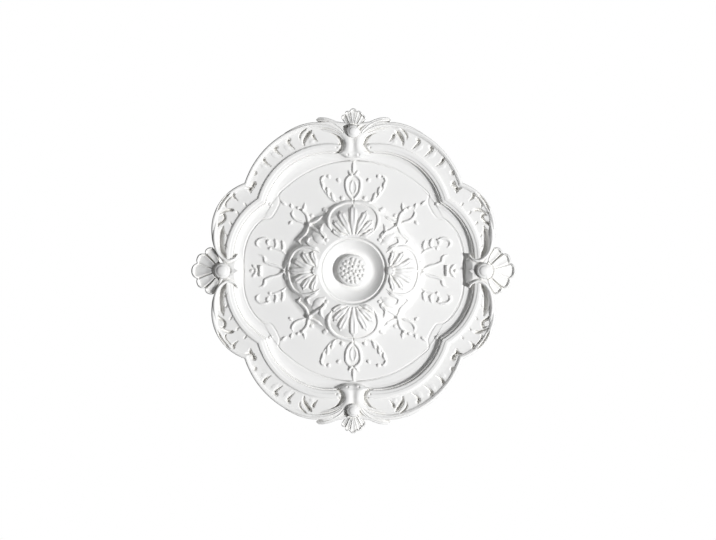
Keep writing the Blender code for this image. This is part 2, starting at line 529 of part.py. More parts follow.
def surface_corners(edge):
    """Corners of the face and the ties between them: outline, mouldings, then the ornament."""
    points = [np.array((0.0, 0.0))] + [p for p in edge]
    angle = np.arctan2(edge[:, 1], edge[:, 0])
    reach = np.hypot(edge[:, 0], edge[:, 1])
    taken = {}
    for k, p in enumerate(points):
        taken.setdefault((int(p[0] / CLOSEST), int(p[1] / CLOSEST)), []).append(k)

    def add(px, py):
        """Index of a new corner, or -1 where it is outside or too close to another."""
        if px < -0.6 * CLOSEST or py < -0.6 * CLOSEST:
            return -1
        px = 0.0 if px < 0.6 * CLOSEST else px
        py = 0.0 if py < 0.6 * CLOSEST else py
        room = np.interp(math.atan2(py, px), angle, reach) - math.hypot(px, py)
        if room < 0.5 * CLOSEST or (room < 9.0 * CLOSEST and edge_distance(edge, px, py) < CLOSEST):
            return -1
        i, j = int(px / CLOSEST), int(py / CLOSEST)
        for di in (-1, 0, 1):
            for dj in (-1, 0, 1):
                for k in taken.get((i + di, j + dj), ()):
                    if (points[k][0] - px) ** 2 + (points[k][1] - py) ** 2 < CLOSEST ** 2:
                        return -1
        points.append(np.array((px, py)))
        taken.setdefault((i, j), []).append(len(points) - 1)
        return len(points) - 1

    ties = []
    for chain in moulding_lines():
        ground = Relief(chain[:, 0], chain[:, 1])
        frame_ground(ground)
        middle_ground(ground)
        over = carve(chain[:, 0], chain[:, 1]).z - ground.z
        last = -1
        for (px, py), extra in zip(chain, over):
            here = add(px, py) if extra < 1.0 else -1
            if last >= 0 and here >= 0:
                ties.append((last, here))
            last = here
    for px, py in carve(np.zeros(1), np.zeros(1)).marks:
        add(DRAW * px, DRAW * py)
    spread = 0.04 * ACROSS
    for i in range(14):
        for j in range(14):
            px, py = spread * (i + 0.5 * (j % 2)), spread * j
            if all((q[0] - px) ** 2 + (q[1] - py) ** 2 > (0.4 * spread) ** 2 for q in points):
                add(px, py)
    return np.array(points), ties


def fitted_surface(edge):
    """Corners, heights and triangles of the face of one quarter."""
    points, ties = surface_corners(edge)
    corners, tris = facets(points, range(len(edge) + 1), ties)
    z = carve(corners[:, 0], corners[:, 1]).z
    near_edge = carve(0.9955 * edge[:, 0], 0.9955 * edge[:, 1]).z
    z[1:len(edge) + 1] = near_edge
    return corners, np.maximum(z, 0.8 * EDGE_THICKNESS), tris


def quarter_mesh():
    """Face, outer wall and flat back of one quarter, open on its two mirror planes."""
    edge = outline()
    corners, z, tris = fitted_surface(edge)
    count = len(corners)
    ring = np.vstack([[(0.0, 0.0)], edge])
    back_corners, back_tris = facets(ring, range(len(ring)))
    verts = [(px, -h, py) for (px, py), h in zip(corners, z)]
    verts += [(px, 0.0, py) for px, py in back_corners]
    faces = []
    for a, b, c in tris:
        faces.append((int(a), int(b), int(c)))
    for k in range(1, len(ring) - 1):
        faces.append((k, count + k, count + k + 1, k + 1))
    for a, b, c in back_tris:
        faces.append((count + int(c), count + int(b), count + int(a)))
    mesh = bpy.data.meshes.new("ceiling_rose")
    mesh.from_pydata([(0.001 * vx, 0.001 * vy, 0.001 * vz) for vx, vy, vz in verts], [], faces)
    mesh.update()
    return mesh


def plaster_white():
    """White primer on the casting."""
    material = bpy.data.materials.new("white_primer")
    material.use_nodes = True
    shader = material.node_tree.nodes["Principled BSDF"]
    shader.inputs["Base Color"].default_value = (0.87, 0.87, 0.87, 1.0)
    shader.inputs["Roughness"].default_value = 0.6
    shader.inputs["Metallic"].default_value = 0.0
    return material


def build():
    """The casting: one quarter, mirrored across its upright and its level axis."""
    for thing in list(bpy.data.objects):
        bpy.data.objects.remove(thing, do_unlink=True)
    group = bpy.data.collections.new("CeilingRose")
    bpy.context.scene.collection.children.link(group)
    rose = bpy.data.objects.new("ceiling_rose", quarter_mesh())
    rose.data.materials.append(plaster_white())
    group.objects.link(rose)
    mirror = rose.modifiers.new("four quarters", "MIRROR")
    mirror.use_axis = (True, False, True)
    mirror.use_mirror_merge = True
    mirror.merge_threshold = 0.00002
    print("quarter faces", len(rose.data.polygons))


build()
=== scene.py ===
# %% [markdown]
# # Ceiling rose
#
# A ceiling rose is one moulded casting that is fixed by its flat back. This one is 385 mm across.
# Its face looks towards -Y and its back lies in the plane Y = 0. Such low relief could be sculpted, or
# cut with many booleans, but both are hard to change. Here the face is a height map: numpy adds up
# mouldings, petals, stems and leaves as heights over a drawing plane (x to the right, y up, all in
# millimetres). One quarter is worked out and mirrored, and the heights are laid on meshes whose
# rows follow the mouldings, so that edges stay crisp with few faces.

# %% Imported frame
import math

import bpy
import numpy as np
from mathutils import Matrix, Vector


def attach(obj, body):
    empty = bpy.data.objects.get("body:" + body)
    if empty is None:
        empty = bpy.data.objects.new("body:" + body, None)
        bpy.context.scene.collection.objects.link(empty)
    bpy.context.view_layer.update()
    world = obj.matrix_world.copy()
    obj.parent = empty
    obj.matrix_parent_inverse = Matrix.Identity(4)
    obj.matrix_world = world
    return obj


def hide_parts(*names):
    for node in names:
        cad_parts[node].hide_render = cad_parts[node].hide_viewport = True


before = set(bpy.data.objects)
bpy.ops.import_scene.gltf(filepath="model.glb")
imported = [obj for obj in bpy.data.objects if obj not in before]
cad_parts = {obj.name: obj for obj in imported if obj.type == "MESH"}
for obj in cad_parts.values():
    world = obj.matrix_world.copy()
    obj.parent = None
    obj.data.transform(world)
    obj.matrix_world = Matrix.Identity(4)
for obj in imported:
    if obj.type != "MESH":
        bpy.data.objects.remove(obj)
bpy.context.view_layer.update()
NODE = "ceiling_rose"

# %% [markdown]
# Two tables describe the plain turned and moulded ground that the ornament stands on. The outline of
# the rose is a row of lobes. Every line that follows it is the outer edge of a large and a small disc
# in each quarter, which is easier to keep smooth than a drawn curve. The outermost line has one more
# disc, which carries it under the knobs of the side shells. `FRAME_PROFILE` is the section
# across those lines, by station: 0 is the field line, 1 the foot of the hollow moulding, 2 the bead,
# 3 the crest, 4 the rim and 5 the outer edge. `MIDDLE_PROFILE` is the section of button, dish and
# medallion, by distance from the middle.

# %% Heights over the back
MM = 0.001
FIELD = 9.0
BEAD_TOP = FIELD + 6.2
CREST = FIELD + 10.2
LEAF_TOP = FIELD + 11.4
RIM_TOP = FIELD + 12.0
EDGE = 4.0
CROWN = FIELD + 14.2
LIP = FIELD + 11.4
DISH_FLOOR = 11.0
BUTTON = DISH_FLOOR + 11.6
print("field", FIELD, "rim", RIM_TOP, "crown of the medallion", CROWN)

# %% Lines of the frame and the two sections
LINES = (
    ((0.0, 13.9, 117.2), (64.8, 12.1, 66.2)),
    ((27.8, 61.8, 73.0), (67.0, 15.0, 69.6)),
    ((27.8, 61.8, 78.6), (67.0, 15.0, 75.2)),
    ((27.8, 61.8, 88.0), (68.0, 15.0, 83.4)),
    ((28.6, 71.5, 102.4), (109.8, 48.7, 55.4)),
    ((28.6, 71.5, 105.8), (109.8, 48.7, 58.9), (138.0, 0.0, 11.0)),
)

FRAME_PROFILE = (
    (-0.5, FIELD), (0.5, FIELD), (1.0, FIELD + 0.4), (1.5, FIELD + 1.3), (1.74, FIELD + 1.9),
    (1.77, FIELD + 2.2), (1.88, BEAD_TOP - 0.5), (1.93, BEAD_TOP), (2.0, BEAD_TOP),
    (2.04, BEAD_TOP - 0.5), (2.08, BEAD_TOP - 0.6), (2.16, CREST - 1.9), (2.24, CREST - 1.5),
    (2.48, CREST - 1.0), (2.6, CREST - 0.2), (2.85, CREST), (2.98, CREST - 0.15), (3.01, CREST - 0.7),
    (3.06, CREST - 2.1), (3.12, CREST - 2.3), (3.3, CREST - 2.2), (3.5, CREST - 2.1),
    (3.75, CREST - 1.7), (3.88, CREST - 1.3), (3.96, CREST + 0.6), (4.08, RIM_TOP - 0.6),
    (4.4, RIM_TOP - 0.5), (4.7, RIM_TOP - 0.9), (4.9, RIM_TOP - 2.2), (5.0, EDGE),
)

MEDALLION_RADIUS = 86.5
MIDDLE_PROFILE = (
    (0.0, BUTTON), (4.0, BUTTON - 0.15), (8.0, BUTTON - 0.6), (12.0, BUTTON - 1.35),
    (15.5, BUTTON - 2.3), (17.2, BUTTON - 2.7), (18.1, BUTTON - 3.5), (18.9, DISH_FLOOR + 0.4),
    (19.6, DISH_FLOOR), (23.0, DISH_FLOOR + 0.2), (25.0, DISH_FLOOR + 0.9), (28.0, DISH_FLOOR + 2.9),
    (32.0, DISH_FLOOR + 6.0), (35.3, LIP - 0.6), (36.0, LIP), (36.8, LIP + 0.1), (37.2, LIP - 0.5),
    (38.6, LIP - 0.4), (39.3, LIP + 0.6), (40.2, CROWN - 0.5), (41.2, CROWN),
    (50.0, FIELD + 13.4), (58.0, FIELD + 12.4), (65.0, FIELD + 11.2), (70.0, FIELD + 9.7),
    (74.0, FIELD + 7.2), (79.0, FIELD + 3.6), (82.0, FIELD + 1.6), (84.5, FIELD + 0.4),
    (MEDALLION_RADIUS, FIELD),
)


def disc_edge(angle, discs):
    """Distance from the middle to the outer edge of a line's discs, in a direction.

    For each disc it is the part of the centre's distance that lies along the direction, plus half
    the chord that the direction cuts from the disc; the farthest of the discs counts.
    """
    c = np.cos(angle)
    s = np.sin(angle)
    best = np.zeros_like(angle)
    for cx, cy, radius in discs:
        for sx, sy in ((1.0, 1.0), (1.0, -1.0), (-1.0, 1.0)):
            along = cx * sx * c + cy * sy * s
            off = cx * sx * s - cy * sy * c
            half_chord = np.sqrt(np.maximum(radius ** 2 - off ** 2, 0.0))
            best = np.maximum(best, np.where(np.abs(off) < radius, along + half_chord, 0.0))
    return best


diagonal = np.array([0.25 * math.pi])
print("lines on the diagonal", [round(float(disc_edge(diagonal, discs)[0]), 1) for discs in LINES])

# %% [markdown]
# The ornament is drawn in strokes, as a modeller lays rolls of clay. `Relief` holds the heights at a
# set of points. A rib has a round section and thins towards its ends, a groove is cut with a smooth
# section, and a dot is a round bead or a drilled eye. Each stroke only touches the points near it,
# which keeps a face of some 370,000 points quick.

# %% Strokes of the relief
def ease(a, b, v):
    """Smooth step from 0 at a to 1 at b: 3 t squared minus 2 t cubed."""
    t = np.clip((v - a) / (b - a), 0.0, 1.0)
    return t * t * (3.0 - 2.0 * t)


def smooth_path(points, steps=12):
    """Catmull-Rom curve through the points, as a polyline of cubic spans."""
    p = np.asarray(points, float)
    if len(p) == 2:
        t = np.linspace(0.0, 1.0, 4)[:, None]
        return p[0] * (1.0 - t) + p[1] * t
    q = np.vstack([2.0 * p[0] - p[1], p, 2.0 * p[-1] - p[-2]])
    t = np.linspace(0.0, 1.0, steps, endpoint=False)[:, None]
    spans = []
    for a, b, c, d in zip(q[:-3], q[1:-2], q[2:-1], q[3:]):
        spans.append(0.5 * (2.0 * b + (c - a) * t + (2.0 * a - 5.0 * b + 4.0 * c - d) * t ** 2
                            + (3.0 * b - a - 3.0 * c + d) * t ** 3))
    return np.vstack(spans + [p[-1:]])


class Relief:
    """Heights over the back at points of one quarter, built up stroke by stroke.

    x and y are the points folded into the quarter, sx and sy the same points where they lie, r the
    distance from the middle and z the height.
    """

    def __init__(self, x, y):
        self.shape = np.shape(x)
        self.sx = np.asarray(x, float).ravel()
        self.sy = np.asarray(y, float).ravel()
        self.x = np.abs(self.sx)
        self.y = np.abs(self.sy)
        self.r = np.hypot(self.x, self.y)
        self.z = np.zeros(self.x.size)

    def near(self, path, reach):
        """Points near a polyline, their distance to it and how far along it they lie (0 to 1)."""
        low = path.min(0) - reach
        high = path.max(0) + reach
        pick = np.flatnonzero((self.x > low[0]) & (self.x < high[0])
                              & (self.y > low[1]) & (self.y < high[1]))
        px = self.x[pick]
        py = self.y[pick]
        runs = np.diff(path, axis=0)
        length = np.maximum(np.hypot(runs[:, 0], runs[:, 1]), 1e-9)
        start = np.concatenate([[0.0], np.cumsum(length)])
        best = np.full(pick.size, 1e9)
        along = np.zeros(pick.size)
        for k, (ux, uy) in enumerate(runs / length[:, None]):
            dx = px - path[k, 0]
            dy = py - path[k, 1]
            t = np.clip(dx * ux + dy * uy, 0.0, length[k])
            d = np.hypot(dx - t * ux, dy - t * uy)
            closer = d < best
            best[closer] = d[closer]
            along[closer] = (start[k] + t[closer]) / start[-1]
        return pick, best, along

    def stroke(self, points, half_width, rise, ends=(0.3, 0.3)):
        """Round rib laid on the ground (rise > 0) or groove cut into it (rise < 0).

        The section is 1 - (distance / half width) squared, and its root for a rib. Both width and
        rise shrink over the shares of the length that ends gives.
        """
        pick, d, along = self.near(smooth_path(points), half_width)
        taper = ease(0.0, ends[0], along) * ease(0.0, ends[1], 1.0 - along)
        q = np.clip(1.0 - (d / (half_width * (0.35 + 0.65 * taper))) ** 2, 0.0, 1.0)
        q = q if rise < 0.0 else np.sqrt(q)
        self.z[pick] += rise * (0.4 + 0.6 * taper) * q

    def dot(self, cx, cy, radius, rise):
        """Round bead (rise > 0) or drilled eye (rise < 0), with the sections of a stroke."""
        q = np.clip(1.0 - np.hypot(self.x - cx, self.y - cy) ** 2 / radius ** 2, 0.0, 1.0)
        self.z += rise * (q if rise < 0.0 else np.sqrt(q))


# %% [markdown]
# The ground is what a plasterer would run with a template: the section of the frame follows the
# lobes, and the section of the middle is turned. On the real rose the slope of the medallion lies
# nearer the middle at the diagonals, so the distance is pinched there before the section is read.

# %% Ground of the relief
def frame_ground(rel):
    """Heights across the frame: the section read at each point's station between two lines."""
    angle = np.arctan2(rel.y, rel.x)
    edges = [disc_edge(angle, discs) for discs in LINES]
    station = np.full(rel.r.size, -1.0)
    for k in range(len(LINES) - 1):
        share = (rel.r - edges[k]) / np.maximum(edges[k + 1] - edges[k], 0.5)
        station = np.where(rel.r >= edges[k], k + np.minimum(share, 1.0), station)
    profile = np.array(FRAME_PROFILE)
    height = np.interp(station, profile[:, 0], profile[:, 1])
    rel.z = np.where(rel.r > edges[-1] + 0.01, 0.0, height)


DIAGONAL_PINCH = 6.5


def middle_ground(rel):
    """Button, dish and medallion: the turned section, pinched by sin squared of twice the angle."""
    profile = np.array(MIDDLE_PROFILE)
    twice = 2.0 * np.arctan2(rel.y, rel.x)
    pinch = DIAGONAL_PINCH * np.sin(twice) ** 2 * ease(50.0, 74.0, rel.r)
    height = np.interp(rel.r + pinch, profile[:, 0], profile[:, 1])
    rel.z = np.where(rel.r < MEDALLION_RADIUS, height, rel.z)


probe = Relief(np.array([0.0, 41.2, 100.0]), np.zeros(3))
frame_ground(probe)
middle_ground(probe)
print("ground at the middle, the crown and the field", probe.z.round(1))

# %% [markdown]
# The button carries round seeds, the medallion a palmette above the dish and one beside it, and a
# knot of stems between them. A petal is a rib with a hollow down its outer part. Where two petals
# meet, the higher one counts, so a valley stays between them as in carved work.

# %% Seeds and palmettes
SEED_RADIUS = 2.1
SEED_RISE = 1.7
PETAL_RISE = 3.0
PETAL_HOLLOW = 1.3


def petal(rel, over, points, half_width):
    """Raises the heights over the ground to a round rib with a dip along the middle of its end."""
    pick, d, along = rel.near(smooth_path(points), half_width)
    taper = ease(0.0, 0.4, along) * ease(0.0, 0.14, 1.0 - along)
    q = np.clip(1.0 - (d / (half_width * (0.3 + 0.7 * taper))) ** 2, 0.0, 1.0)
    dip = np.clip(1.0 - (d / (0.45 * half_width)) ** 2, 0.0, 1.0)
    dip *= ease(0.2, 0.6, along) * ease(0.02, 0.16, 1.0 - along)
    rib = (PETAL_RISE + 0.5) * (0.4 + 0.6 * taper) * np.sqrt(q)
    over[pick] = np.maximum(over[pick], rib - PETAL_HOLLOW * dip)


def seeds(rel):
    """Round seeds on the button: one in the middle and three rings round it.

    Sines of the seed's number set them a little unevenly, so that they look placed by hand and
    still come out the same each time. They use the points as they lie, so the quarters differ.
    """
    rel.dot(0.0, 0.0, SEED_RADIUS, SEED_RISE)
    for count, ring_radius in ((5, 4.6), (10, 9.2), (15, 13.4)):
        for k in range(count):
            turn = 2.0 * math.pi * (k + 0.12 * math.sin(2.3 * k + count)) / count
            out = ring_radius + 0.4 * math.sin(3.1 * k + ring_radius)
            radius = SEED_RADIUS + 0.25 * math.sin(1.7 * k + ring_radius)
            cx = out * math.cos(turn)
            cy = out * math.sin(turn)
            q = np.clip(1.0 - ((rel.sx - cx) ** 2 + (rel.sy - cy) ** 2) / radius ** 2, 0.0, 1.0)
            rel.z += SEED_RISE * np.sqrt(q)


UPPER_PETALS = (([(0, 44), (0, 60), (0, 77)], 4.4),
                ([(4, 44), (8, 54), (13, 63), (15.5, 70)], 4.1),
                ([(6, 43), (13, 49), (19, 55), (22.5, 59)], 3.7),
                ([(9, 41), (16, 43), (21, 46), (23, 49)], 3.1))
SIDE_PETALS = (([(48, 0), (60, 0), (76, 0)], 4.0),
               ([(47, 3), (58, 6), (66, 10.5), (70.5, 13)], 3.8),
               ([(46, 5), (52, 10), (57, 17), (59, 21.5)], 3.5),
               ([(43.5, 6), (45, 12), (47.5, 18), (47, 23)], 3.1))


def palmettes(rel):
    """Petals, the bands round them and the knotted stems of one quarter."""
    over = np.zeros(rel.x.size)
    for points, half_width in UPPER_PETALS + SIDE_PETALS:
        petal(rel, over, points, half_width)
    rel.z += over
    horseshoe = [(0, 82), (10, 81), (20, 77), (26.2, 71.5), (29.4, 65), (30, 59), (28.4, 53), (25.5, 48)]
    rel.stroke(horseshoe, 2.1, PETAL_RISE - 0.4, (0.02, 0.15))
    rel.dot(44.5, 0, 5.2, PETAL_RISE)
    side_band = [(78, 0), (77, 9), (74.5, 17), (70, 23.5), (62, 28), (53, 28), (45, 25.5), (40, 22)]
    rel.stroke(side_band, 1.9, PETAL_RISE - 0.6, (0.02, 0.15))
    rel.stroke([(34, 32), (41, 37), (48, 43)], 4.6, 2.0, (0.4, 0.4))
    rel.stroke([(41, 25.5), (46, 28.5), (51.5, 31.2), (54.4, 34), (53, 38.3), (49.5, 39.5)], 1.8, 2.2,
               (0.2, 0.2))
    rel.stroke([(36, 55), (38.5, 50), (37.5, 46), (34.5, 43), (33.5, 40), (35.8, 37)], 1.9, 2.6,
               (0.2, 0.2))
    hook = [(62.5, 32), (65.2, 36), (62.5, 39), (59, 42.3), (56, 46.3), (54, 51.5), (52, 56),
            (45, 59.5), (37, 65)]
    rel.stroke(hook, 1.8, 2.6, (0.12, 0.12))
    tie = [(34, 40), (39, 45), (44, 48), (49, 51.5), (53.2, 57), (54.7, 64), (57, 68.3), (59.5, 71),
           (58.3, 75.5), (57.8, 80.5)]
    rel.stroke(tie, 1.8, 2.4, (0.15, 0.1))
    rel.dot(52.6, 54, 3.0, 1.6)
    rel.stroke([(31, 70.5), (36.5, 73.8)], 2.6, 2.2, (0.2, 0.2))
    rel.dot(49.5, 65.5, 2.4, 1.8)
    rel.dot(31, 36.5, 2.2, 1.8)


print("petals in a quarter", len(UPPER_PETALS) + len(SIDE_PETALS))

# %% [markdown]
# The plain field carries arabesques: a lyre above the upper palmette, a bell beside the side one, and
# sprays between them. They are low stems of one height with buds and short leaves, so a list of
# strokes draws them. The numbers are points on the stems' middle lines.

# %% Arabesques
STEM_RISE = 2.3
LEAFLET = 1.8
LEAFLETS = (((22, 82.5), (24.3, 87), (26.2, 92.8)), ((30, 89.5), (30.2, 94), (31.6, 99.5)),
            ((36.3, 97), (36.3, 101.5), (38.6, 106.5)), ((85.3, 23.5), (83.2, 28.5), (84.8, 36.2)),
            ((93.6, 27), (91.5, 31.5), (93.3, 38)), ((100.7, 30.5), (102.2, 34.5), (99, 37.2)))
SPRIGS = (((73.2, 74.4), (74.4, 80)), ((80, 78), (86, 83)), ((73, 59), (76.4, 55)),
          ((64, 74), (68, 75.4)), ((59.5, 71), (63, 74)))


def arabesques(rel):
    """Low stems, buds and leaves on the plain field."""
    h = STEM_RISE
    lyre = [(0, 84.5), (4.2, 88.5), (7.4, 94), (8.8, 101.5), (8, 108), (4, 112.5), (0, 114)]
    rel.stroke(lyre, 1.8, h, (0.05, 0.1))
    rel.stroke([(0, 90), (3.2, 96), (2.8, 103), (0, 108)], 1.4, 0.5 * h, (0.1, 0.1))
    rel.stroke([(0, 115.5), (0, 130)], 1.8, h, (0.1, 0.4))
    rel.stroke([(0, 113.5), (3, 115), (6, 119)], 1.7, h, (0.1, 0.3))
    rel.stroke([(16, 106), (19.5, 109)], 2.0, h, (0.3, 0.2))
    rel.stroke([(12, 84.5), (15, 88)], 2.4, h, (0.2, 0.3))
    for leaflet in LEAFLETS:
        rel.stroke(leaflet, LEAFLET, h, (0.3, 0.2))
    rel.stroke([(14, 81), (22, 82.5), (27.5, 86.5), (32, 92), (36.3, 98)], 1.5, 0.6 * h, (0.2, 0.2))
    rel.stroke([(38.6, 106.5), (37, 110.5), (33.6, 112.3)], 1.5, h, (0.1, 0.2))
    rel.dot(29.5, 112, 2.2, h)
    rel.stroke([(79, 12), (80.8, 5), (82.8, 0)], 1.6, h, (0.2, 0.05))
    bell = [(82.8, 0), (85.5, 3), (91, 5.8), (97, 7.2), (101.5, 9), (105, 11), (105.6, 14.8),
            (107.6, 17.6), (111.8, 19)]
    rel.stroke(bell, 1.7, h, (0.05, 0.2))
    rel.stroke([(110.4, 0), (110.8, 4.2), (109, 6.2)], 2.0, 1.7 * h, (0.02, 0.2))
    rel.stroke([(115, 0), (116.8, 3.6), (120.4, 7.4)], 1.7, h, (0.02, 0.25))
    rel.dot(121.0, 0.0, 2.2, h)
    rel.stroke([(80, 19), (84.5, 23.5), (92, 26.5), (99.5, 28.5)], 1.4, 0.6 * h, (0.2, 0.2))
    rel.dot(99.3, 26.6, 2.0, h)
    scroll = [(99.5, 36.8), (106, 38.6), (111.8, 37.2), (114.8, 34), (114.4, 30.5), (111.5, 28)]
    rel.stroke(scroll, 1.6, h, (0.2, 0.2))
    spray = [(56.5, 56.5), (61, 58), (66, 59.5), (70.6, 62.8), (73, 67.6), (71.6, 71.8)]
    rel.stroke(spray, 1.6, h, (0.2, 0.2))
    for sprig in SPRIGS:
        rel.stroke(sprig, 1.7, h, (0.3, 0.3))


print("stems stand", STEM_RISE, "mm over the field")

# %% [markdown]
# The frame carries overlapping leaves. On the real rose they read as one band with cuts between the
# leaves and a drilled eye at the end of each cut, so it is the cuts that are drawn, as grooves in
# the ground. A deep hollow lies beside the side shells, and a fine line runs round the field.

# %% Leaves of the frame
NOTCH = 3.8
FIELD_LINE = ((131.0, -3), (131.0, 4), (130.0, 22), (127.3, 34), (122.6, 45), (115.6, 54.5),
              (107.5, 61.2), (99.5, 62.5), (94.6, 67.6), (90.5, 75), (88, 82), (89, 91), (80.5, 99.5),
              (67, 110), (48, 120.8), (25, 128.4), (3, 131.1), (-3, 131.1))
COMMAS = (((48.0, 161.0), (46.5, 157.5), (43.0, 153.5), 1.9),
          ((76.0, 155.5), (77.5, 152.0), (70.0, 144.5), 2.4),
          ((91.0, 146.5), (93.0, 143.5), (84.5, 136.0), 2.5),
          ((106.5, 132.5), (104.5, 128.5), (98.0, 124.0), 2.5))


def leaf_frame(rel):
    """Line round the field, cuts between the leaves and the hollows beside the shells."""
    rel.stroke(FIELD_LINE, 1.15, -0.9, (0.01, 0.01))
    rel.dot(98.5, 79.0, 2.4, 2.0)
    for head, bend, tail, eye in COMMAS:
        rel.stroke([head, bend, tail], 2.0, -1.2 * NOTCH, (0.05, 0.8))
        rel.dot(head[0], head[1], eye, -0.5 * NOTCH)
        rel.stroke([(tail[0] + 4.0, tail[1] - 2.5), (bend[0] + 4.6, bend[1] - 3.0)], 2.8, 0.6,
                   (0.5, 0.3))
    rel.dot(117.0, 116.0, 3.1, -0.8 * NOTCH)
    rel.stroke([(50, 166), (54.5, 161), (58.5, 154), (58.5, 149)], 2.7, -1.9 * NOTCH, (0.15, 0.45))
    rel.stroke([(55, 169), (60.5, 164.5), (63.5, 159.5), (63, 154.5)], 1.2, -0.9 * NOTCH, (0.2, 0.3))
    rim_cut = [(30, 173.5), (40, 174.8), (50, 174.5), (60, 173.2), (70, 170.8), (84, 165.5)]
    rel.stroke(rim_cut, 1.1, -0.7 * NOTCH, (0.15, 0.3))
    rel.dot(118, 103.2, 3.4, -1.6 * NOTCH)
    rel.stroke([(118, 101), (122, 97), (122, 92.5)], 2.6, -1.3 * NOTCH, (0.1, 0.3))
    rel.stroke([(121, 97), (128, 98)], 1.8, -NOTCH, (0.1, 0.4))
    hollow = [(150.5, 12.5), (153.5, 18), (156.5, 26), (157.0, 37), (156.0, 46), (154.5, 52)]
    rel.stroke(hollow, 3.8, -8.5, (0.2, 0.15))
    rel.stroke([(141.5, 92.5), (142.0, 88.0), (137.0, 83.0)], 1.7, -1.2 * NOTCH, (0.1, 0.7))
    rel.stroke([(146.0, 92.0), (150.5, 88.0), (156.5, 80.0), (161.0, 71.0)], 1.5, -NOTCH, (0.2, 0.2))
    rel.stroke([(143.5, 89.0), (149.0, 84.0), (152.0, 78.5), (150.5, 74.5)], 1.2, -0.7 * NOTCH,
               (0.3, 0.2))
    rel.stroke([(142.0, 72.0), (148.0, 72.4), (154.0, 70.0), (160.0, 68.0)], 2.1, -1.3 * NOTCH,
               (0.1, 0.7))
    side_cut = [(157.5, 66.0), (153.5, 66.5), (152.5, 62.0), (155.0, 58.5), (160.0, 55.5),
                (164.0, 50.5)]
    rel.stroke(side_cut, 1.9, -1.3 * NOTCH, (0.15, 0.2))
    for cx, cy in ((153, 31), (152.5, 44), (147, 58), (139, 70.5), (130, 80.5)):
        rel.stroke([(cx - 3.5, cy - 4.0), (cx, cy)], 1.2, -0.45 * NOTCH, (0.5, 0.1))


print("deepest cut", round(1.9 * NOTCH, 1), "mm")

# %% [markdown]
# Four shells stand on the axes. Each has a knob at its root and five hollowed fingers, and rests on a
# bracketed plate over the frame, with strands that curl up beside it. A shell is worked out in its
# own polar grid: rho is the distance from the knob and phi the angle from its middle finger. That
# gives each finger its own tip and makes the cuts between them radial, as on a real scallop.

# %% Shape of a shell
SIDE_SHELL = dict(root=(155.3, 0.0), up=False, tips=(37.2, 34.4, 32.4), notches=(32.0, 29.2, 30.0),
                  bounds=(17.0, 44.0, 67.0), knob=(9.6, FIELD + 20.4), high=21.8, low=17.4)
TOP_SHELL = dict(root=(0.0, 165.0), up=True, tips=(27.5, 25.6, 23.2), notches=(24.6, 22.4, 20.5),
                 bounds=(10.5, 26.0, 42.0), knob=(7.8, FIELD + 20.0), high=22.0, low=17.2)


def by_finger(phi, cut, values):
    """One of three values for the middle finger, the next one and the outer one."""
    return np.where(phi < cut[0], values[0], np.where(phi < cut[1], values[1], values[2]))


def fan(rel, root, up, tips, notches, bounds, knob, high, low):
    """Scallop of five hollowed fingers round a knob. u runs out of the rose, v across it.

    tips and notches are the reach of the fingers and of the cuts beyond them, bounds the angles of
    the cuts, knob the radius and height of the ball at the root, and high and low the heights at
    root and tip. The height falls smoothly outwards, less a parabolic bowl across each finger, less
    a groove at the cuts, plus a small curl before the tip. The knob is a dome with a ring cut in it.
    """
    u = rel.y - root[1] if up else rel.x - root[0]
    v = rel.x - root[0] if up else rel.y - root[1]
    rho = np.hypot(u, v)
    phi = np.degrees(np.arctan2(np.abs(v), u))
    scale = tips[0] / SIDE_SHELL["tips"][0]
    waist = ease(0.35 * tips[0], 0.9 * tips[0], rho)
    cut = [b * (w + (1.0 - w) * waist) for b, w in zip(bounds, (0.8, 1.04, 1.1))]
    centre = by_finger(phi, cut, (0.0, 0.5 * (cut[0] + cut[1]), 0.5 * (cut[1] + cut[2])))
    half = by_finger(phi, cut, (cut[0], 0.5 * (cut[1] - cut[0]), 0.5 * (cut[2] - cut[1])))
    tip = by_finger(phi, cut, tips)
    s = (phi - centre) / half
    inner = by_finger(phi, cut, (notches[0], notches[0], notches[1]))
    outer = by_finger(phi, cut, notches)
    side = np.where(s < 0.0, inner, outer)
    reach = tip - (tip - side) * np.clip(np.abs(s), 0.0, 1.0) ** 2.4
    t = np.clip((rho - knob[0]) / (reach - knob[0]), 0.0, 1.2)
    bowl = 2.4 * scale * (1.0 - s ** 2) * ease(0.02, 0.4, t) * (1.0 - 0.8 * ease(0.86, 0.94, t))
    beside = (phi >= cut[0]) & np.where(phi < cut[1], s > 0.0, s < 0.0)
    groove_depth = np.where(beside, 6.4, 3.0) * scale
    groove = groove_depth * ease(0.72, 1.0, np.abs(s)) * ease(0.0, 0.25, t)
    curl = 1.6 * scale * ease(0.84, 0.93, t) - 2.6 * scale * ease(0.94, 1.0, t)
    fingers = high + (low - high) * ease(0.0, 1.05, t) - bowl - groove + curl
    rel.z = np.where((phi < cut[2]) & (rho < reach), fingers, rel.z)
    dome = np.sqrt(np.clip(1.0 - (rho / knob[0]) ** 2, 0.0, 1.0))
    ball = knob[1] - 0.75 * knob[0] * (1.0 - dome)
    ring_cut = 0.7 * scale * np.exp(-((rho / knob[0] - 0.68) / 0.1) ** 2)
    rel.z = np.where(rho < knob[0], np.maximum(rel.z - 2.0, ball - ring_cut), rel.z)
    moat = (rho >= knob[0]) & (rho < knob[0] + 1.6)
    rel.z = np.where(moat & ((phi < cut[2]) | (phi > 130.0)), rel.z - 1.6 * scale, rel.z)


print("reach of the side shells", SIDE_SHELL["root"][0] + SIDE_SHELL["tips"][0])


